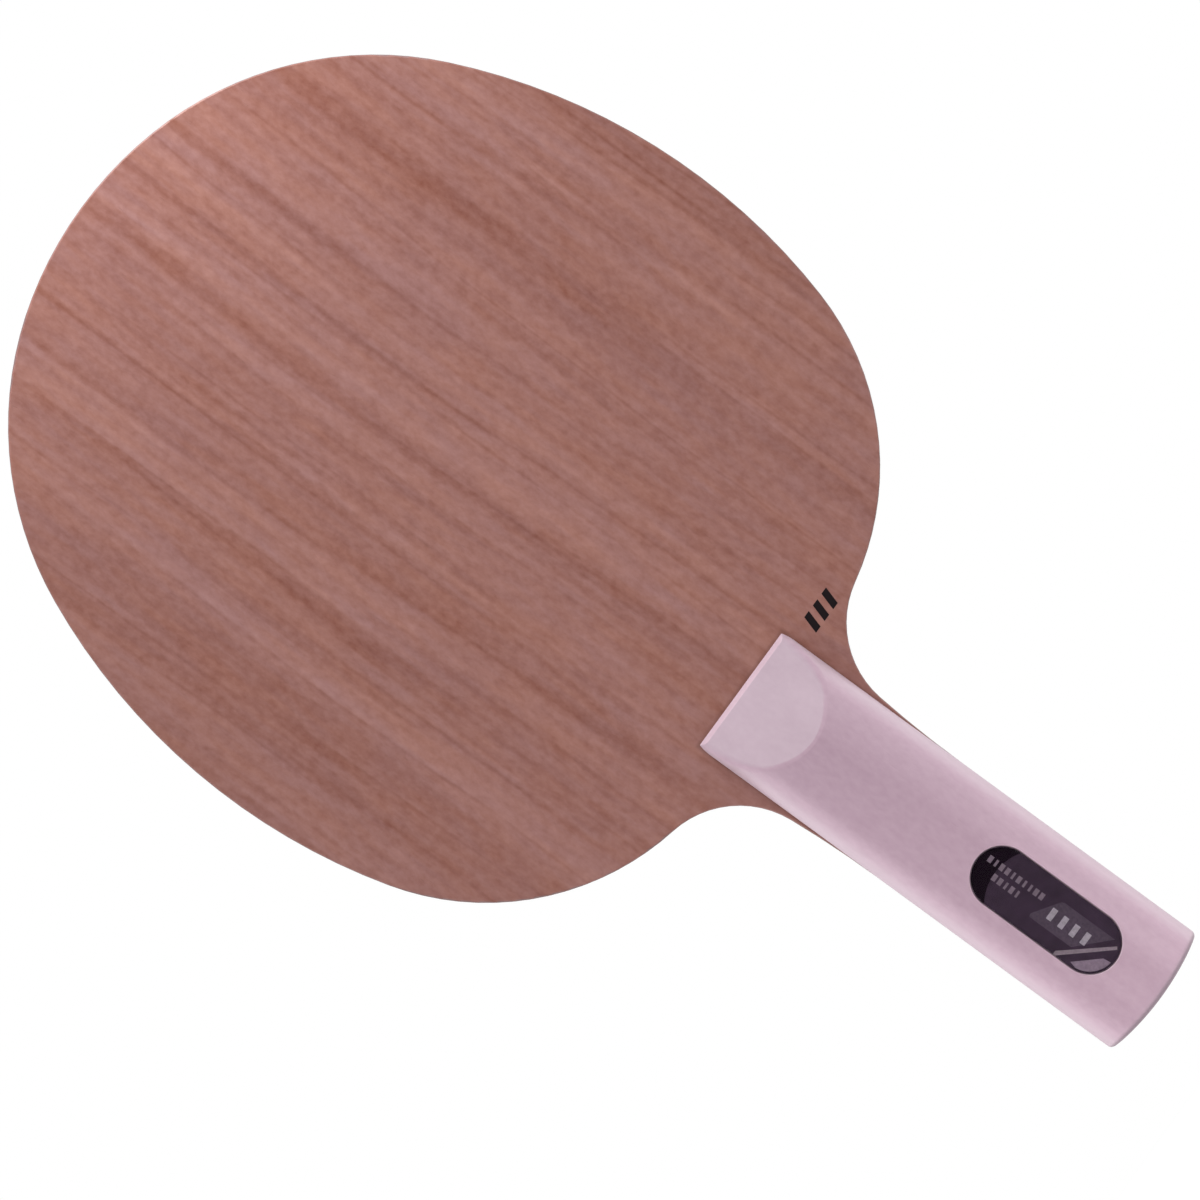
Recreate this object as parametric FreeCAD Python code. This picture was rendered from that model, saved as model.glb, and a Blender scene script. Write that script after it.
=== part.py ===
import FreeCAD, Part
import math
import os

# A bare table tennis blade with a straight handle: seven glued plies that run from the tip
# to the butt, a pale wooden scale on each side of the tang, and a round-ended badge let
# into the front scale.
#
# Millimetres. The blade stands on the middle of its butt: +Z runs up to the tip, +X to the
# right of the front face and +Y to the back, so the front playing face looks along -Y.

# ---------------------------------------------------------------- driving dimensions
BLADE_LENGTH = 157.0          # playing part, from the scales' front edge to the tip
BLADE_WIDTH = 150.0           # widest place
HANDLE_LENGTH = 100.0         # scales, from the butt to their front edge
HANDLE_WIDTH = 27.4           # tang and scales

# The right-hand edge is a chain of arcs, each tangent to the next. An angle is the way the
# edge faces, from +Z (0) round to +X (90) and on towards -Z, where its arc ends.
TIP_RADIUS, TIP_END = 76.0, 15.0
CROWN_RADIUS, CROWN_END = 68.1, 65.9
SIDE_END = 105.7              # the side arc's radius follows from the blade's width
SHOULDER_RADIUS, SHOULDER_END = 53.7, 168.15
NECK_RADIUS, NECK_END = 19.1, 95.27
# The last hollow arc runs out along the handle, so its radius follows from the handle's width.

# Plies from the front face to the back one: node name and thickness.
PLIES = [
    ("front_face_veneer", 0.5),
    ("front_second_ply", 0.7),
    ("front_third_ply", 0.8),
    ("blade_core", 2.4),
    ("back_third_ply", 0.8),
    ("back_second_ply", 0.7),
    ("back_face_veneer", 0.5),
]
FACE_EASING = 0.35            # rounding of the playing faces' outer edge
EASING_STOP = 62.0            # height above the butt where that rounding ends

SCALE_HEIGHT = 8.2            # crest of a scale above the blade's face
ARCH_RADIUS = 26.0            # broad arc over the palm
CORNER_RADIUS = 7.5           # tighter arc down to each side
FACET_LENGTH = 17.3           # thumb facet, from the front edge to its apex on the crest
BEVEL_RUN = 0.9               # short steep bevel at the facet's front edge
BEVEL_RISE = 1.25
FACET_SOFTENING = 2.0         # rounding between the facet and the arch
BEVEL_SOFTENING = 0.25        # rounding between the facet and the bevel

BUTT_RADIUS = 60.0            # the butt is slightly domed across the handle
BUTT_EASING = 1.2             # rounding of the butt's edges

BADGE_LENGTH = 32.9
BADGE_WIDTH = 12.1
BADGE_CENTRE_X = 0.35
BADGE_CENTRE_Z = 27.7
POCKET_CLEARANCE = 0.15       # gap round the badge
POCKET_DEPTH = 1.6            # below the crest
POCKET_EASING = 0.2           # rounding of the pocket's rim
ADHESIVE_THICKNESS = 0.15
FOIL_THICKNESS = 0.2
LENS_BELOW_CREST = 0.08
LENS_EASING = 0.15

# ---------------------------------------------------------------- values that follow
TOTAL_LENGTH = BLADE_LENGTH + HANDLE_LENGTH
HALF_WIDTH = HANDLE_WIDTH / 2
BLADE_THICKNESS = sum(thickness for name, thickness in PLIES)
FACE_Y = BLADE_THICKNESS / 2
CREST_Y = FACE_Y + SCALE_HEIGHT
CUTTER_MARGIN = 5.0           # how far a cutting solid runs past what it cuts


def fillet_where(solid, radius, wanted):
    """Round every edge whose bounding box passes the test."""
    edges = [edge for edge in solid.Edges if wanted(edge.BoundBox)]
    return solid.makeFillet(radius, edges)


def heading(angle):
    """Unit vector at an angle from +Z towards +X."""
    a = math.radians(angle)
    return FreeCAD.Vector(math.sin(a), 0, math.cos(a))


def edge_arc(start, radius, from_angle, to_angle):
    """Arc from start whose outward side turns from one angle to another; hollow if radius < 0."""
    centre = start - heading(from_angle) * radius
    middle = centre + heading((from_angle + to_angle) / 2) * radius
    end = centre + heading(to_angle) * radius
    return Part.Arc(start, middle, end).toShape(), end


def right_edge():
    """The blade's right-hand edge, from the tip down to the butt, as a list of edges."""
    tip = FreeCAD.Vector(0, 0, TOTAL_LENGTH)
    tip_arc, point = edge_arc(tip, TIP_RADIUS, 0, TIP_END)
    crown_arc, point = edge_arc(point, CROWN_RADIUS, TIP_END, CROWN_END)
    side_radius = (BLADE_WIDTH / 2 - point.x) / (1 - heading(CROWN_END).x)
    side_arc, point = edge_arc(point, side_radius, CROWN_END, SIDE_END)
    shoulder_arc, point = edge_arc(point, SHOULDER_RADIUS, SIDE_END, SHOULDER_END)
    neck_arc, point = edge_arc(point, -NECK_RADIUS, SHOULDER_END, NECK_END)
    runout_radius = (HALF_WIDTH - point.x) / (1 - heading(NECK_END).x)
    runout_arc, point = edge_arc(point, runout_radius, NECK_END, 90)
    corner = FreeCAD.Vector(HALF_WIDTH, 0, butt_height(HALF_WIDTH))
    side_line = Part.makeLine(point, corner)
    return [tip_arc, crown_arc, side_arc, shoulder_arc, neck_arc, runout_arc, side_line]


def butt_height(x):
    """Height of the domed butt at a distance x from the middle."""
    return BUTT_RADIUS - math.sqrt(BUTT_RADIUS ** 2 - x ** 2)


def blade_outline():
    """Closed outline of every ply, in the XZ plane."""
    right = right_edge()
    left = [edge.mirror(FreeCAD.Vector(0, 0, 0), FreeCAD.Vector(1, 0, 0)) for edge in right]
    z = butt_height(HALF_WIDTH)
    corners = [FreeCAD.Vector(x, 0, z) for x in (-HALF_WIDTH, HALF_WIDTH)]
    butt = Part.Arc(corners[0], FreeCAD.Vector(0, 0, 0), corners[1]).toShape()
    return Part.Wire(Part.sortEdges(right + left + [butt])[0])


def span_box(z_low, z_high):
    """A box wider and deeper than the whole blade, between two heights."""
    size = BLADE_WIDTH + 2 * CUTTER_MARGIN
    corner = FreeCAD.Vector(-size / 2, -size / 2, z_low)
    return Part.makeBox(size, size, z_high - z_low, corner)


def make_ply(outline, y_low, y_high):
    """One ply between two depths, with the butt's corners rounded."""
    face = Part.Face(outline)
    face.translate(FreeCAD.Vector(0, y_low, 0))
    ply = face.extrude(FreeCAD.Vector(0, y_high - y_low, 0))
    return fillet_where(ply, BUTT_EASING,
                        lambda box: box.YLength > 0.1 and box.ZMax < 2 * BUTT_EASING)


def ease_playing_face(ply, y_face):
    """Round the outer edge of a face veneer, except along the handle, and end its playing
    face at the scale's front edge: what lies below is glued over by the scale."""
    eased = fillet_where(ply, FACE_EASING,
                         lambda box: abs(box.YMin - y_face) < 0.01 and abs(box.YMax - y_face) < 0.01)
    playing = eased.common(span_box(HANDLE_LENGTH, TOTAL_LENGTH + CUTTER_MARGIN))
    wings = eased.common(span_box(EASING_STOP, HANDLE_LENGTH))
    tang = ply.common(span_box(-CUTTER_MARGIN, EASING_STOP))
    return playing.fuse([wings, tang]).Solids[0]


def plies():
    """All seven plies, by node name."""
    outline = blade_outline()
    solids = {}
    y = -FACE_Y
    for name, thickness in PLIES:
        solids[name] = make_ply(outline, y, y + thickness)
        y += thickness
    solids["front_face_veneer"] = ease_playing_face(solids["front_face_veneer"], -FACE_Y)
    solids["back_face_veneer"] = ease_playing_face(solids["back_face_veneer"], FACE_Y)
    return solids


def arch_section():
    """Cross-section of the back scale in the XY plane: a broad arc between two tighter ones."""
    arch_y = CREST_Y - ARCH_RADIUS
    corner_x = HALF_WIDTH - CORNER_RADIUS
    centre_gap = ARCH_RADIUS - CORNER_RADIUS
    corner_y = arch_y + math.sqrt(centre_gap ** 2 - corner_x ** 2)
    foot_x = corner_x + math.sqrt(CORNER_RADIUS ** 2 - (corner_y - FACE_Y) ** 2)
    meet_angle = math.atan2(corner_x, corner_y - arch_y)
    foot_angle = math.pi / 2 - math.asin((FACE_Y - corner_y) / CORNER_RADIUS)

    def corner_point(side, angle):
        x = side * (corner_x + CORNER_RADIUS * math.sin(angle))
        return FreeCAD.Vector(x, corner_y + CORNER_RADIUS * math.cos(angle), 0)

    edges = []
    for side in (-1, 1):
        points = [corner_point(side, a) for a in
                  (foot_angle, (foot_angle + meet_angle) / 2, meet_angle)]
        edges.append(Part.Arc(*points).toShape())
    crest = FreeCAD.Vector(0, CREST_Y, 0)
    edges.append(Part.Arc(corner_point(-1, meet_angle), crest, corner_point(1, meet_angle)).toShape())
    feet = [FreeCAD.Vector(side * foot_x, FACE_Y, 0) for side in (-1, 1)]
    edges.append(Part.makeLine(feet[0], feet[1]))
    return Part.Wire(Part.sortEdges(edges)[0])


def side_profile():
    """Side view of the back scale: bevel and facet at the front, open above the crest."""
    front = HANDLE_LENGTH
    bevel_top = (front - BEVEL_RUN, FACE_Y + BEVEL_RISE)
    slope = (SCALE_HEIGHT - BEVEL_RISE) / (FACET_LENGTH - BEVEL_RUN)
    above = CREST_Y + CUTTER_MARGIN
    facet_top = (front - FACET_LENGTH - CUTTER_MARGIN / slope, above)
    outline = [(-CUTTER_MARGIN, FACE_Y), (front, FACE_Y), bevel_top, facet_top, (-CUTTER_MARGIN, above)]
    outline.append(outline[0])
    return Part.makePolygon([FreeCAD.Vector(-HANDLE_WIDTH, y, z) for z, y in outline])


def domed_end():
    """A slab across the handle whose lower end has the butt's dome."""
    width = HANDLE_WIDTH
    top = HANDLE_LENGTH + CUTTER_MARGIN
    low_left, low_right = [FreeCAD.Vector(x, 0, butt_height(width)) for x in (-width, width)]
    high_left, high_right = [FreeCAD.Vector(x, 0, top) for x in (-width, width)]
    dome = Part.Arc(low_left, FreeCAD.Vector(0, 0, 0), low_right).toShape()
    sides = Part.makePolygon([low_right, high_right, high_left, low_left])
    face = Part.Face(Part.Wire([dome] + sides.Edges))
    return face.extrude(FreeCAD.Vector(0, CREST_Y + CUTTER_MARGIN, 0))


def make_back_scale():
    """The plain scale: arched bar, faceted at the front and domed at the butt."""
    bar = Part.Face(arch_section()).extrude(FreeCAD.Vector(0, 0, HANDLE_LENGTH))
    profile = Part.Face(side_profile()).extrude(FreeCAD.Vector(2 * HANDLE_WIDTH, 0, 0))
    scale = bar.common(profile).common(domed_end())
    facet_apex = HANDLE_LENGTH - FACET_LENGTH
    bevel_end = HANDLE_LENGTH - BEVEL_RUN
    bevel_top = FACE_Y + BEVEL_RISE

    def facet_to_arch(box):
        return box.ZMin > facet_apex - 0.01 and box.ZMin < bevel_end - 1 and box.YMax > bevel_top + 0.1

    def butt_edge(box):
        return box.ZMax < 2 * BUTT_EASING and box.YMax > FACE_Y + 0.01

    def bevel_edge(box):
        return box.ZMin > bevel_end - 0.1 and box.XLength > HALF_WIDTH and box.YMin > FACE_Y + 1

    scale = fillet_where(scale, FACET_SOFTENING, facet_to_arch)
    scale = fillet_where(scale, BUTT_EASING, butt_edge)
    return fillet_where(scale, BEVEL_SOFTENING, bevel_edge)


def cut_pocket(scale, pocket):
    """The front scale with the badge's pocket milled in and its rim rounded."""
    rim_y = -CREST_Y + POCKET_DEPTH / 2
    high = BADGE_CENTRE_Z + BADGE_LENGTH
    cut = scale.cut(pocket)

    def rim_edge(box):
        inside = box.XMin > -BADGE_WIDTH and box.XMax < BADGE_WIDTH
        return inside and box.ZMin > 2 * BUTT_EASING and box.ZMax < high and box.YMax < rim_y

    return fillet_where(cut, POCKET_EASING, rim_edge)


def stadium(length, width):
    """Round-ended outline along Z, in the XZ plane at y = 0."""
    radius = width / 2
    straight = length / 2 - radius
    cx = BADGE_CENTRE_X
    cz = BADGE_CENTRE_Z

    def point(dx, dz):
        return FreeCAD.Vector(cx + dx, 0, cz + dz)

    top = Part.Arc(point(-radius, straight), point(0, length / 2), point(radius, straight))
    bottom = Part.Arc(point(radius, -straight), point(0, -length / 2), point(-radius, -straight))
    right = Part.makeLine(point(radius, straight), point(radius, -straight))
    left = Part.makeLine(point(-radius, -straight), point(-radius, straight))
    return Part.Wire([top.toShape(), right, bottom.toShape(), left])


def badge_slab(y_low, y_high, clearance):
    """A round-ended slab between two depths, wider all round by the clearance."""
    outline = stadium(BADGE_LENGTH + 2 * clearance, BADGE_WIDTH + 2 * clearance)
    face = Part.Face(outline)
    face.translate(FreeCAD.Vector(0, y_low, 0))
    return face.extrude(FreeCAD.Vector(0, y_high - y_low, 0))


def badge_pieces():
    """Pocket cutter, adhesive pad, printed foil and clear lens, from the pocket's floor outwards."""
    floor = -CREST_Y + POCKET_DEPTH
    foil_back = floor - ADHESIVE_THICKNESS
    foil_front = foil_back - FOIL_THICKNESS
    pocket = badge_slab(-CREST_Y - CUTTER_MARGIN, floor, POCKET_CLEARANCE)
    adhesive = badge_slab(foil_back, floor, 0)
    foil = badge_slab(foil_front, foil_back, 0)
    crown_radius = ARCH_RADIUS - LENS_BELOW_CREST
    crown = Part.makeCylinder(crown_radius, HANDLE_LENGTH,
                              FreeCAD.Vector(0, ARCH_RADIUS - CREST_Y, 0))
    lens = badge_slab(-CREST_Y - CUTTER_MARGIN, foil_front, 0).common(crown)
    lens = fillet_where(lens, LENS_EASING, lambda box: box.YMax < foil_front - 0.01)
    return pocket, adhesive, foil, lens


def handle():
    """Both scales and the badge, by node name."""
    back_scale = make_back_scale()
    front_scale = back_scale.mirror(FreeCAD.Vector(0, 0, 0), FreeCAD.Vector(0, 1, 0))
    pocket, adhesive, foil, lens = badge_pieces()
    return {
        "front_handle_scale": cut_pocket(front_scale, pocket),
        "back_handle_scale": back_scale,
        "badge_adhesive_pad": adhesive,
        "badge_foil": foil,
        "badge_lens": lens,
    }


os.makedirs("parts", exist_ok=True)
for node, solid in {**plies(), **handle()}.items():
    solid.exportStep(f"parts/{node}.step")
    print(node, "valid" if solid.isValid() else "NOT VALID", round(solid.Volume, 1), "mm3")
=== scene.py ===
import math

import bmesh
import bpy
from mathutils import Matrix, Vector


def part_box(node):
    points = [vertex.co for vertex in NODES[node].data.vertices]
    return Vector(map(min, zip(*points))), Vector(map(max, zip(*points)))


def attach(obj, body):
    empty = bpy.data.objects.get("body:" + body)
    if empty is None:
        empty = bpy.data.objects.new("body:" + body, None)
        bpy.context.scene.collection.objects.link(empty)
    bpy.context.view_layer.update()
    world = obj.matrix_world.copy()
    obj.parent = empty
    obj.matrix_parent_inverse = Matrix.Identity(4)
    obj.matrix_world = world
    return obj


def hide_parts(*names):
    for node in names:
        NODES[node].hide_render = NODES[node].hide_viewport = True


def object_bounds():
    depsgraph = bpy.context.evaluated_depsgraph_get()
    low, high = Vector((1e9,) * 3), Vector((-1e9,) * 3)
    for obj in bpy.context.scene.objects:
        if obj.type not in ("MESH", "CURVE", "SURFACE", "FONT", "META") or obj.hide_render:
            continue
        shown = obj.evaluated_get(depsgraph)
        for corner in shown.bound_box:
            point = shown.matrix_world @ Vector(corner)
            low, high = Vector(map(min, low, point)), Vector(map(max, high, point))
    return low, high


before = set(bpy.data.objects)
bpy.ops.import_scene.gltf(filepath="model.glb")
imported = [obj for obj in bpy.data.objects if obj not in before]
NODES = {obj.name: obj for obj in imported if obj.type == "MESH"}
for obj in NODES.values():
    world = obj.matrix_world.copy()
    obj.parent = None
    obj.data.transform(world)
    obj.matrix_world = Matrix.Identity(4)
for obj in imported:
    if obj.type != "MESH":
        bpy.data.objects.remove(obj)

# A bare table tennis blade with a straight handle. The plies, the scales and the badge's foil
# and adhesive pad are the CAD's own solids with wood, print and tape materials. The badge's
# clear lens and everything printed are built here.

MM = 0.001
CAD_LOW, CAD_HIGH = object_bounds()
CAD_CENTRE = (CAD_LOW + CAD_HIGH) / 2

# ---------------------------------------------------------------- places read from the frame
FACE_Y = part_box("front_face_veneer")[0].y / MM
FOIL_LOW, FOIL_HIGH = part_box("badge_foil")
BADGE_X = (FOIL_LOW.x + FOIL_HIGH.x) / 2 / MM
BADGE_Z = (FOIL_LOW.z + FOIL_HIGH.z) / 2 / MM
BADGE_RADIUS = (FOIL_HIGH.x - FOIL_LOW.x) / 2 / MM      # half its width, and the radius of its ends
BADGE_END = (FOIL_HIGH.z - FOIL_LOW.z) / 2 / MM - BADGE_RADIUS      # centre of an end's arc
FOIL_Y = FOIL_LOW.y / MM                                # the foil's printed face
LENS_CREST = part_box("badge_lens")[0].y / MM
SCALE_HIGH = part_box("front_handle_scale")[1]
SCALE_HALF = SCALE_HIGH.x / MM
SCALE_TOP = SCALE_HIGH.z / MM


# ---------------------------------------------------------------- node trees
class Nodes:
    """Short names for building a node tree."""

    def __init__(self, tree):
        self.tree = tree
        tree.nodes.clear()

    def add(self, kind, **settings):
        node = self.tree.nodes.new("ShaderNode" + kind)
        for key, value in settings.items():
            setattr(node, key, value)
        return node

    def put(self, socket, value):
        """Links a socket to another, or sets it to a plain value."""
        if isinstance(value, bpy.types.NodeSocket):
            self.tree.links.new(value, socket)
        else:
            socket.default_value = value

    def math(self, operation, a, b=0.0, c=0.0, clamp=False):
        node = self.add("Math", operation=operation, use_clamp=clamp)
        for socket, value in zip(node.inputs, (a, b, c)):
            self.put(socket, value)
        return node.outputs[0]

    def vector(self, operation, a, b, output=0):
        node = self.add("VectorMath", operation=operation)
        self.put(node.inputs[0], a)
        self.put(node.inputs[1], b)
        return node.outputs[output]

    def dot(self, a, b):
        return self.vector("DOT_PRODUCT", a, b, output=1)

    def mix(self, factor, a, b, blend="MIX"):
        node = self.add("Mix", data_type="RGBA", blend_type=blend)
        self.put(node.inputs[0], factor)
        self.put(node.inputs[6], a)
        self.put(node.inputs[7], b)
        return node.outputs[2]

    def split(self, vector):
        node = self.add("SeparateXYZ")
        self.put(node.inputs[0], vector)
        return node.outputs

    def join(self, x, y, z):
        node = self.add("CombineXYZ")
        for socket, value in zip(node.inputs, (x, y, z)):
            self.put(socket, value)
        return node.outputs[0]

    def step(self, value, low, high, start=0.0, end=1.0):
        """A smooth change from start to end as value goes from low to high."""
        node = self.add("MapRange", interpolation_type="SMOOTHSTEP", clamp=True)
        for socket, number in zip(node.inputs, (value, low, high, start, end)):
            self.put(socket, number)
        return node.outputs[0]

    def noise(self, place, size, seed, detail=2.0, roughness=0.5):
        """Noise about 0 with cells of size, three lengths in mm. Each seed has its own pattern."""
        shift = (seed * 31.7, seed * 17.3, seed * 53.9)
        stretched = self.vector("DIVIDE", place, size)
        node = self.add("TexNoise")
        self.put(node.inputs["Vector"], self.vector("ADD", stretched, shift))
        node.inputs["Scale"].default_value = 1.0
        node.inputs["Detail"].default_value = detail
        node.inputs["Roughness"].default_value = roughness
        return self.math("SUBTRACT", node.outputs[0], 0.5)

    def weigh(self, layers):
        """The sum of value * weight over pairs of (weight, value)."""
        total = 0.0
        for weight, value in layers:
            total = self.math("MULTIPLY_ADD", value, weight, total)
        return total


class Finish(Nodes):
    """One material, in the piece's own coordinates."""

    def __init__(self, name):
        self.material = bpy.data.materials.new(name)
        self.material.use_nodes = True
        super().__init__(self.material.node_tree)
        source = self.add("TexCoord")
        self.place = self.vector("MULTIPLY", source.outputs["Object"], (1 / MM,) * 3)
        self.normal = source.outputs["Normal"]

    def ramp(self, value, dark, light):
        """From dark at -0.5 to light at 0.5."""
        return self.mix(self.math("ADD", value, 0.5, clamp=True), dark, light)

    def surface(self, colour, roughness, height=None, depth=0.05, **plain):
        """Adds the Principled shader. Depth is the relief, in mm, of a height of 1."""
        shader = self.add("BsdfPrincipled")
        self.put(shader.inputs["Base Color"], colour)
        self.put(shader.inputs["Roughness"], roughness)
        for name, value in plain.items():
            shader.inputs[name.replace("_", " ")].default_value = value
        if height is not None:
            bump = self.add("Bump")
            bump.inputs["Strength"].default_value = 1.0
            bump.inputs["Distance"].default_value = depth * MM
            self.put(bump.inputs["Height"], height)
            self.tree.links.new(bump.outputs[0], shader.inputs["Normal"])
        output = self.add("OutputMaterial")
        self.tree.links.new(shader.outputs[0], output.inputs["Surface"])
        return self.material


def shade(colour, gain=1.0):
    """An 8-bit colour, made lighter or darker by gain, as the linear one that shaders take."""
    def channel(value):
        value = min(1.0, value * gain / 255)
        return value / 12.92 if value <= 0.04045 else ((value + 0.055) / 1.055) ** 2.4
    return tuple(channel(value) for value in colour) + (1.0,)


# ---------------------------------------------------------------- wood
VENEER_DARK, VENEER_LIGHT = (124, 70, 55), (176, 130, 123)
# The pores' colour, also used for the painted shade in front of the scale.
VENEER_PORE_AND_SHADE = (96, 60, 50)
# Painted shade: a darker grey-brown laid on the veneer's rounded edges.
VENEER_RIM_SHADE = (108, 88, 90)          # the rounded edge round the face
COOL_TINT, WARM_TINT = (0.965, 1.0, 1.07, 1), (1.035, 1.0, 0.93, 1)
HANDLE_DARK, HANDLE_LIGHT = (166, 136, 152), (199, 171, 186)
HANDLE_PORE = (150, 118, 128)
# The first is a painted sheen for the scales' sideways faces.
# The second is painted shade for the scales' downward faces at the butt.
HANDLE_FLANK_SHEEN, HANDLE_BUTT_SHADE = (190, 178, 184), (112, 98, 106)
# The cut faces' paler tone with a painted sheen; the bevel's is lighter still, a painted highlight.
FACET_TONE_AND_SHEEN, BEVEL_TONE_AND_HIGHLIGHT = (180, 166, 175), (204, 180, 190)
SECOND_PLY, THIRD_PLY, CORE = (172, 141, 126), (138, 106, 93), (182, 155, 141)
GLUE = (112, 84, 66)


def bend(s, place, seed, reach, size=(40, 40, 110)):
    """Lets the grain wander sideways by up to about a quarter of reach, in mm."""
    wander = s.noise(place, size, seed, detail=1)
    x, y, z = s.split(place)
    return s.join(s.math("MULTIPLY_ADD", wander, reach, x), y, z)


def vessels(s, place, seed, limit):
    """Short open pores along the grain: 1 inside one, 0 outside."""
    cells = s.noise(place, (0.24, 0.24, 2.6), seed, detail=1)
    return s.step(cells, limit, limit + 0.08)


def veneer_material(name, seed):
    """The pinkish brown face veneer: pale pink-grey bands, long brown streaks, short mottling, with
    painted shade on its rounded edges and just in front of the scale.
    """
    s = Finish(name)
    place = bend(s, s.place, seed, 5)
    bands = s.step(s.noise(place, (9, 9, 420), seed + 1, detail=1), -0.13, 0.13, -0.5, 0.5)
    clouds = s.noise(place, (22, 22, 60), seed + 2, detail=1)
    streaks = s.noise(place, (2.7, 2.7, 200), seed + 3, detail=2, roughness=0.45)
    flecks = s.noise(place, (1.1, 1.1, 14), seed + 4, detail=1)
    mottle = s.noise(place, (1.3, 1.3, 2.1), seed + 5, detail=3, roughness=0.6)
    wavy = bend(s, place, seed + 9, 1.2, (9, 9, 26))
    crossings = s.math("ABSOLUTE", s.noise(wavy, (8, 8, 260), seed + 8, detail=2))
    lines = s.step(crossings, 0.0, 0.05, -1.0, 0.0)
    figure = s.weigh([(0.1, bands), (0.12, clouds), (0.5, streaks), (0.16, flecks), (0.68, mottle)])
    figure = s.math("MULTIPLY_ADD", lines, 0.14, figure)
    colour = s.ramp(figure, shade(VENEER_DARK), shade(VENEER_LIGHT))
    hue = s.noise(place, (5, 5, 40), seed + 6, detail=2)
    fine_hue = s.noise(place, (1.8, 1.8, 9), seed + 10, detail=1)
    cool = s.mix(1.0, colour, COOL_TINT, "MULTIPLY")
    warm = s.mix(1.0, colour, WARM_TINT, "MULTIPLY")
    warmth = s.math("ADD", s.weigh([(1.9, hue), (1.4, fine_hue)]), 0.5, clamp=True)
    colour = s.mix(warmth, cool, warm)
    open_pores = vessels(s, place, seed + 7, 0.19)
    colour = s.mix(s.math("MULTIPLY", open_pores, 0.13), colour, shade(VENEER_PORE_AND_SHADE))
    # Painted shade: faces turned away from the veneer's flat face, its rounded edges and sides, are
    # darkened towards the rim tone.
    rim = s.step(s.math("ABSOLUTE", s.split(s.normal)[1]), 0.5, 0.97, 1.0, 0.0)
    colour = s.mix(s.math("MULTIPLY", rim, 0.75), colour, shade(VENEER_RIM_SHADE))
    # Painted shade: a thin dark band on the veneer just in front of the scale's front end, standing in
    # for the scale's contact shadow.
    x, _, z = s.split(s.place)
    beside_scale = s.step(s.math("ABSOLUTE", x), SCALE_HALF, SCALE_HALF + 0.8, 1.0, 0.0)
    painted_contact_shade = s.math("MULTIPLY", s.step(z, SCALE_TOP + 0.1, SCALE_TOP + 0.9, 0.35, 0.0), beside_scale)
    colour = s.mix(painted_contact_shade, colour, shade(VENEER_PORE_AND_SHADE))
    roughness = s.weigh([(0.15, figure), (0.12, rim), (1.0, 0.47)])
    height = s.weigh([(-0.6, open_pores), (0.5, mottle), (0.6, streaks)])
    return s.surface(colour, roughness, height, depth=0.03)


def ply_material(name, seed, tone, low_y, high_y, crosswise):
    """The sanded edge of an inner ply, with a thin dark glue line along both its sides."""
    s = Finish(name)
    x, y, z = s.split(s.place)
    place = s.join(z, y, x) if crosswise else s.place
    place = bend(s, place, seed, 3)
    streaks = s.noise(place, (1.6, 1.6, 60), seed + 1, detail=3, roughness=0.6)
    mottle = s.noise(place, (1.2, 1.2, 3), seed + 2, detail=2)
    figure = s.weigh([(1.6, streaks), (0.8, mottle)])
    colour = s.ramp(figure, shade(tone, 0.84), shade(tone, 1.1))
    open_pores = vessels(s, place, seed + 3, 0.15)
    colour = s.mix(s.math("MULTIPLY", open_pores, 0.35), colour, shade(tone, 0.6))
    from_low = s.math("ABSOLUTE", s.math("SUBTRACT", y, low_y / MM))
    from_high = s.math("ABSOLUTE", s.math("SUBTRACT", y, high_y / MM))
    glue = s.step(s.math("MINIMUM", from_low, from_high), 0.03, 0.09, 0.55, 0.0)
    colour = s.mix(glue, colour, shade(GLUE))
    roughness = s.weigh([(0.1, figure), (1.0, 0.62)])
    height = s.weigh([(-0.8, open_pores), (1.0, figure)])
    return s.surface(colour, roughness, height, depth=0.05)


def handle_material(name, seed):
    """The scales' pale, close-grained wood, with painted sheen on the sideways faces, the cut wood's
    paler tone with painted sheen on the facets, and painted shade on the faces turned down at the butt.
    """
    s = Finish(name)
    place = bend(s, s.place, seed, 3)
    bands = s.noise(place, (7, 7, 160), seed + 1, detail=2)
    streaks = s.noise(place, (1.4, 1.4, 60), seed + 2, detail=2)
    mottle = s.noise(place, (1.0, 1.0, 1.8), seed + 3, detail=2)
    figure = s.weigh([(0.9, bands), (0.15, streaks), (0.45, mottle)])
    colour = s.ramp(figure, shade(HANDLE_DARK), shade(HANDLE_LIGHT))
    open_pores = vessels(s, place, seed + 4, 0.2)
    colour = s.mix(s.math("MULTIPLY", open_pores, 0.1), colour, shade(HANDLE_PORE))
    across, _, slope = s.split(s.normal)
    # Painted sheen: faces turned sideways across the handle are mixed towards a paler grey.
    colour = s.mix(s.step(s.math("ABSOLUTE", across), 0.6, 0.95, 0.0, 0.4), colour, shade(HANDLE_FLANK_SHEEN))
    # Painted shade: faces turned downwards, on the butt's rounded edge, are darkened.
    colour = s.mix(s.step(slope, -0.7, -0.02, 0.8, 0.0), colour, shade(HANDLE_BUTT_SHADE))
    # Upward cut faces take the cut wood's paler tone with a painted sheen, and the steeper bevel a
    # lighter one as a painted highlight.
    cut_tone_and_sheen = s.mix(s.step(slope, 0.5, 0.7), shade(FACET_TONE_AND_SHEEN), shade(BEVEL_TONE_AND_HIGHLIGHT))
    colour = s.mix(s.step(slope, 0.2, 0.4, 0.0, 0.45), colour, cut_tone_and_sheen)
    roughness = s.weigh([(0.12, figure), (1.0, 0.46)])
    height = s.weigh([(-0.6, open_pores), (0.5, mottle), (0.4, streaks)])
    return s.surface(colour, roughness, height, depth=0.025)


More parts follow.
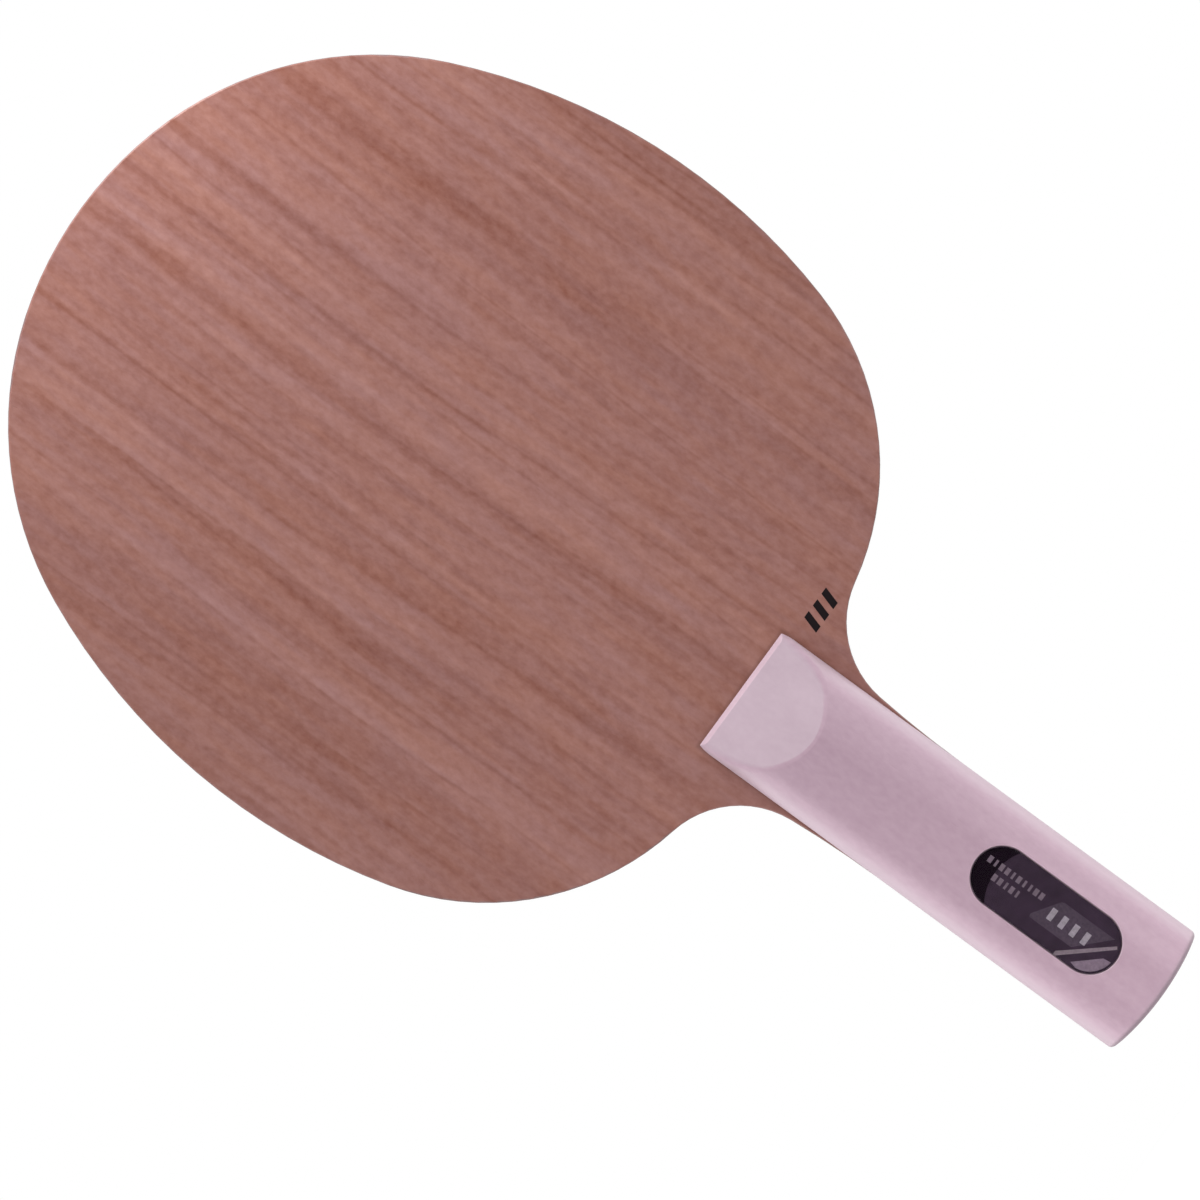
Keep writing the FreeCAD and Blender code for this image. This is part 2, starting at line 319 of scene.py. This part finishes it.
# ---------------------------------------------------------------- badge and print
GROUND_INK, CAP_INK = (76, 60, 77), (29, 15, 29)
PANEL_INK, PATCH_INK = (100, 86, 101), (166, 146, 164)
STRIPE_INK = (168, 151, 161)
SMALL_BAR_INK, LARGE_BAR_INK = (152, 134, 147), (196, 186, 196)
WING_INK = (18, 5, 10)
WING_GLOSS = 0.25
TAPE_DARK, TAPE_LIGHT = (190, 188, 180), (240, 238, 232)


def print_material(name, tone, coarse=0.5, gloss=0.0):
    """A printed tone with slightly uneven ink. Ink under the lens has no gloss of its own."""
    s = Finish(name)
    ink = s.noise(s.place, (coarse,) * 3, 9, detail=3)
    colour = s.ramp(ink, shade(tone, 0.82), shade(tone, 1.16))
    roughness = s.math("MULTIPLY_ADD", ink, 0.3, 0.45)
    return s.surface(colour, roughness, Specular_IOR_Level=gloss)


def lens_material():
    """Clear cast resin with faint polishing marks, its reflection dimmed to keep the print dark."""
    s = Finish("badge_lens_resin")
    haze = s.noise(s.place, (3, 3, 7), 5, detail=1)
    marks = s.noise(s.place, (0.15, 0.15, 5), 6, detail=1)
    roughness = s.weigh([(0.1, haze), (0.06, marks), (1.0, 0.05)])
    return s.surface((0.98, 0.97, 0.985, 1), roughness, haze, depth=0.002,
                     Transmission_Weight=1.0, IOR=1.49, Specular_Tint=(0.25, 0.25, 0.25, 1))


def adhesive_material():
    """White foam tape."""
    s = Finish("badge_tape")
    foam = s.noise(s.place, (0.3, 0.3, 0.3), 11, detail=2)
    colour = s.ramp(foam, shade(TAPE_DARK), shade(TAPE_LIGHT))
    return s.surface(colour, s.math("MULTIPLY_ADD", foam, 0.2, 0.8), foam, depth=0.03)


def dress(node, material):
    mesh = NODES[node].data
    mesh.materials.clear()
    mesh.materials.append(material)


def dress_cad():
    dress("front_face_veneer", veneer_material("front_veneer_wood", 1))
    dress("back_face_veneer", veneer_material("back_veneer_wood", 4))
    inner = [
        ("front_second_ply", SECOND_PLY, True, 11),
        ("front_third_ply", THIRD_PLY, False, 12),
        ("blade_core", CORE, False, 13),
        ("back_third_ply", THIRD_PLY, False, 14),
        ("back_second_ply", SECOND_PLY, True, 15),
    ]
    for node, tone, crosswise, seed in inner:
        low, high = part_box(node)
        dress(node, ply_material(node + "_wood", seed, tone, low.y, high.y, crosswise))
    dress("front_handle_scale", handle_material("front_scale_wood", 21))
    dress("back_handle_scale", handle_material("back_scale_wood", 24))
    dress("badge_foil", print_material("badge_ground_ink", GROUND_INK, coarse=2.5))
    dress("badge_adhesive_pad", adhesive_material())


def piece_from(mesh, name, material):
    """Turns a bmesh in mm into a piece of the object."""
    bmesh.ops.scale(mesh, vec=(MM,) * 3, verts=mesh.verts)
    bmesh.ops.recalc_face_normals(mesh, faces=mesh.faces)
    data = bpy.data.meshes.new(name)
    mesh.to_mesh(data)
    mesh.free()
    data.materials.append(material)
    piece = bpy.data.objects.new(name, data)
    bpy.context.scene.collection.objects.link(piece)
    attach(piece, "root")
    return piece


def arc(x, z, radius, start, end, count=24):
    """Points (x, z) along an arc, from start to end in degrees."""
    angles = [math.radians(start + (end - start) * i / count) for i in range(count + 1)]
    return [(x + radius * math.cos(a), z + radius * math.sin(a)) for a in angles]


def stadium(radius):
    """The badge's outline with ends of this radius."""
    top = arc(BADGE_X, BADGE_Z + BADGE_END, radius, 0, 180)
    return top + arc(BADGE_X, BADGE_Z - BADGE_END, radius, 180, 360)


def bars(x, z, pitch, sizes, slant=0.0):
    """Leaning bars in a row. Sizes are (width, height), and pitch is the (x, z) step between bars."""
    outlines = []
    for i, (width, height) in enumerate(sizes):
        cx, cz = x + pitch[0] * i, z + pitch[1] * i
        lean = slant * height / 2
        outlines.append([
            (cx - width / 2 - lean, cz - height / 2),
            (cx + width / 2 - lean, cz - height / 2),
            (cx + width / 2 + lean, cz + height / 2),
            (cx - width / 2 + lean, cz + height / 2),
        ])
    return outlines


def plate(name, outlines, back, front, material):
    """Flat shapes in X and Z as one piece, from depth back to depth front."""
    mesh = bmesh.new()
    for outline in outlines:
        near = [mesh.verts.new((x, front, z)) for x, z in outline]
        far = [mesh.verts.new((x, back, z)) for x, z in outline]
        mesh.faces.new(near)
        mesh.faces.new(list(reversed(far)))
        for i in range(len(outline)):
            j = (i + 1) % len(outline)
            mesh.faces.new((near[j], near[i], far[i], far[j]))
    return piece_from(mesh, name, material)


LENS_SINK = 0.03            # the lens and the print reach this far into the foil
LENS_CLEARANCE = 0.02       # between the lens and the foil's outline
LENS_EASING = 0.15          # radius of the lens's rounded rim
CROWN_RADIUS = 25.92        # the crown follows the scale's arch
PRINT_STEP = 0.012          # each level of print stands this much higher


def make_lens():
    """A domed lens: a flat back, a short wall, an eased rim and a crown arched across the handle."""
    crown_axis = LENS_CREST + CROWN_RADIUS

    def crown(x):
        return crown_axis - math.sqrt(CROWN_RADIUS ** 2 - x ** 2)

    outer = BADGE_RADIUS - LENS_CLEARANCE
    mesh = bmesh.new()
    back = [mesh.verts.new((x, FOIL_Y + LENS_SINK, z)) for x, z in stadium(outer)]
    mesh.faces.new(back)
    rings = [back]
    insets = [LENS_EASING * (1 - math.cos(math.radians(a))) for a in (0, 20, 40, 60, 80, 90)]
    insets += [outer * share for share in (0.15, 0.3, 0.45, 0.6, 0.75, 0.9, 0.985)]
    for inset in insets:
        short = max(0.0, LENS_EASING - inset)
        drop = LENS_EASING - math.sqrt(LENS_EASING ** 2 - short ** 2)
        outline = stadium(outer - inset)
        rings.append([mesh.verts.new((x, crown(x) + drop, z)) for x, z in outline])
    for ring, following in zip(rings, rings[1:]):
        for i in range(len(ring)):
            j = (i + 1) % len(ring)
            mesh.faces.new((ring[i], ring[j], following[j], following[i]))
    mesh.faces.new(list(reversed(rings[-1])))
    for face in mesh.faces:
        face.smooth = True
    for vertex in back:
        for edge in vertex.link_edges:
            if edge.other_vert(vertex) in back:
                edge.smooth = False
    lens = piece_from(mesh, "lens", lens_material())
    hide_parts("badge_lens")


def badge_plate(name, outlines, level, tone):
    """A printed shape on the foil. A higher level lies over a lower one."""
    front = FOIL_Y - PRINT_STEP * level
    plate(name, outlines, FOIL_Y + LENS_SINK, front, print_material(name, tone))


def badge_print():
    """Generic shapes in place of printing: a dark cap, a panel, a stripe, a patch and rows of bars."""
    inner = BADGE_RADIUS - 0.1
    cap_rise = 1.8
    cap_radius = (inner ** 2 + cap_rise ** 2) / (2 * cap_rise)
    cap_turn = math.degrees(math.asin(inner / cap_radius))
    cap_z = BADGE_Z + BADGE_END + cap_rise - cap_radius
    cap = arc(BADGE_X, BADGE_Z + BADGE_END, inner, 2, 178)
    cap += arc(BADGE_X, cap_z, cap_radius, 90 + cap_turn, 90 - cap_turn)
    badge_plate("badge_cap", [cap], 1, CAP_INK)
    panel = [(-2.9, 1.9), (-2.2, 2.1), (3.0, -1.5), (3.2, -2.2), (3.2, -14.0), (-2.9, -8.0)]
    badge_plate("badge_panel", [around_badge(panel)], 1, PANEL_INK)
    patch = arc(0, -BADGE_END, inner - 0.35, 186, 262) + [(-1.0, -14.3), (-5.2, -9.6)]
    badge_plate("badge_patch", [around_badge(patch)], 1, PATCH_INK)
    stripe = [(-5.85, -6.0), (-5.2, -6.0), (2.4, -15.1), (1.9, -15.5), (-5.85, -6.6)]
    badge_plate("badge_stripe", [around_badge(stripe)], 2, STRIPE_INK)
    width, tall, low = 1.4, 0.9, 0.5
    small_pitch = (0, -1.35)
    long_sizes = [(width, height) for height in (tall, low, tall, tall, low, tall, low, low, tall, tall)]
    short_sizes = [(width, height) for height in (tall, tall, low, tall, low)]
    long_row = bars(BADGE_X + 1.6, BADGE_Z + 14.4, small_pitch, long_sizes)
    short_row = bars(BADGE_X - 0.8, BADGE_Z + 11.7, small_pitch, short_sizes)
    badge_plate("badge_small_bars", long_row + short_row, 2, SMALL_BAR_INK)
    large_row = bars(BADGE_X, BADGE_Z - 1.4, (0, -2.65), [(2.5, 1.15)] * 4)
    badge_plate("badge_large_bars", large_row, 2, LARGE_BAR_INK)


def around_badge(outline):
    """Moves points from the badge's centre to their place."""
    return [(x + BADGE_X, z + BADGE_Z) for x, z in outline]


def wing_mark():
    """Three leaning bars printed on the blade beside the handle."""
    first_x, level, pitch = 18.6, 96.5, 2.8
    width, height = 1.5, 3.6
    row = bars(first_x, level, (pitch, 0), [(width, height)] * 3, slant=0.3)
    back, front = FACE_Y + 0.02, FACE_Y - 0.015
    plate("wing_mark", row, back, front, print_material("wing_ink", WING_INK, gloss=WING_GLOSS))


# ---------------------------------------------------------------- light, floor, camera
TIP_ANGLE = math.radians(36.16)      # the tip points this far above the picture's left
VIEW_SHIFT = Vector((-2.1, 0, 3.45)) * MM      # from the object's centre to the picture's
PICTURE_WIDTH = 230.9 * MM           # what the picture takes in at the blade
LENS_LENGTH = 600.0                  # so long that the view has hardly any perspective
SENSOR = 36.0
PICTURE_UP = Vector((math.cos(TIP_ANGLE), 0, math.sin(TIP_ANGLE)))


def make_camera():
    right = Vector((math.sin(TIP_ANGLE), 0, -math.cos(TIP_ANGLE)))
    back = Vector((0, -1, 0))
    data = bpy.data.cameras.new("camera")
    data.lens = LENS_LENGTH
    data.sensor_width = SENSOR
    camera = bpy.data.objects.new("camera", data)
    bpy.context.scene.collection.objects.link(camera)
    place = CAD_CENTRE + VIEW_SHIFT + back * (PICTURE_WIDTH * LENS_LENGTH / SENSOR)
    turn = Matrix((right, PICTURE_UP, back)).transposed().to_4x4()
    camera.matrix_world = Matrix.Translation(place) @ turn
    bpy.context.scene.camera = camera


def softbox(name, place, target, size, power):
    """A square area light at place that faces target."""
    data = bpy.data.lights.new(name, "AREA")
    data.size = size
    data.energy = power
    light = bpy.data.objects.new(name, data)
    bpy.context.scene.collection.objects.link(light)
    light.location = place
    light.rotation_mode = "QUATERNION"
    light.rotation_quaternion = (Vector(target) - Vector(place)).to_track_quat("-Z", "Y")
    light.visible_camera = False


def make_lights():
    tip = CAD_HIGH.z
    middle = (0, 0, tip - 0.08)
    softbox("head_softbox", (0.06, -0.07, tip + 0.11), middle, size=0.08, power=0.30)


ROOM_LIGHT = 0.7
FRONT_LIGHT = 0.355         # the side that the camera stands on is dimmer
HEAD_LIGHT = 1.75           # added by a large soft light beyond the tip
LEFT_LIGHT = 1.6            # added by soft lights to the left and the right
RIGHT_LIGHT = 1.45


def make_world():
    """A bright white room. The camera sees it as plain white."""
    world = bpy.data.worlds.new("studio")
    world.use_nodes = True
    s = Nodes(world.node_tree)
    direction = s.add("TexCoord").outputs["Generated"]
    front = s.step(s.dot(direction, (0, -1, 0)), 0.2, 0.92, ROOM_LIGHT, FRONT_LIGHT)
    head = s.step(s.dot(direction, Vector((0, -0.32, 0.95)).normalized()), 0.78, 0.96, 0.0, HEAD_LIGHT)
    left = s.step(s.dot(direction, (-1, 0, 0)), 0.6, 0.95, 0.0, LEFT_LIGHT)
    right = s.step(s.dot(direction, (1, 0, 0)), 0.6, 0.95, 0.0, RIGHT_LIGHT)
    room = s.add("Background")
    s.put(room.inputs["Strength"], s.weigh([(1.0, light) for light in (front, head, left, right)]))
    seen = s.add("Background")
    choose = s.add("MixShader")
    for background in (room, seen):
        background.inputs["Color"].default_value = (1, 1, 1, 1)
    s.put(choose.inputs[0], s.add("LightPath").outputs["Is Camera Ray"])
    s.put(choose.inputs[1], room.outputs[0])
    s.put(choose.inputs[2], seen.outputs[0])
    s.put(s.add("OutputWorld").inputs["Surface"], choose.outputs[0])
    bpy.context.scene.world = world
    bpy.context.scene.view_settings.view_transform = "Standard"


def make_floor():
    """A pale round floor under the butt, small enough to stay out of the lens's reflections."""
    radius = 0.17
    behind = 0.05
    drop = 0.025
    mesh = bmesh.new()
    edge = arc(0, behind, radius, 0, 360 - 360 / 96, count=95)
    mesh.faces.new([mesh.verts.new((x, y, CAD_LOW.z - drop)) for x, y in edge])
    data = bpy.data.meshes.new("floor")
    mesh.to_mesh(data)
    mesh.free()
    s = Finish("floor_paint")
    tone = s.noise(s.place, (60, 60, 60), 31, detail=2)
    colour = s.ramp(tone, shade((238, 238, 238)), shade((242, 242, 242)))
    data.materials.append(s.surface(colour, 0.9, Emission_Color=(1, 1, 1, 1), Emission_Strength=0.2))
    floor = bpy.data.objects.new("floor", data)
    bpy.context.scene.collection.objects.link(floor)


dress_cad()
make_lens()
badge_print()
wing_mark()
make_floor()
make_world()
make_lights()
make_camera()
